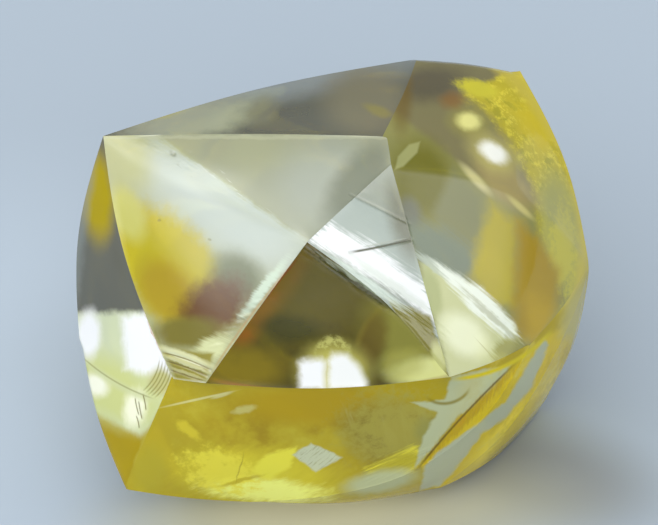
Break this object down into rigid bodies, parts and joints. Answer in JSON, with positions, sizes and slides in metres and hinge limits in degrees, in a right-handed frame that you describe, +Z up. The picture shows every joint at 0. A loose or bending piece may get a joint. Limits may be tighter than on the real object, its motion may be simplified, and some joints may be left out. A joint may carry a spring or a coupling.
{
  "type": "rough yellow diamond crystal",
  "caption": "Rounded rough crystal of clear yellow diamond, its swollen faces meeting in crisp ridges around a low pointed crown, with a flat face that it rests on.",
  "frame": {"origin": "the point of the flat rest face under the crystal's centre of mass", "axes": "+Z up, square to the rest face; the crown leans towards -Y; +X to the right as seen from -Y"},
  "size_m": [0.0052, 0.004, 0.0036],
  "materials": {
    "yellow_diamond": "clear"
  },
  "bodies": {
    "root": {"diamond": "yellow_diamond"}
  },
  "joints": []
}
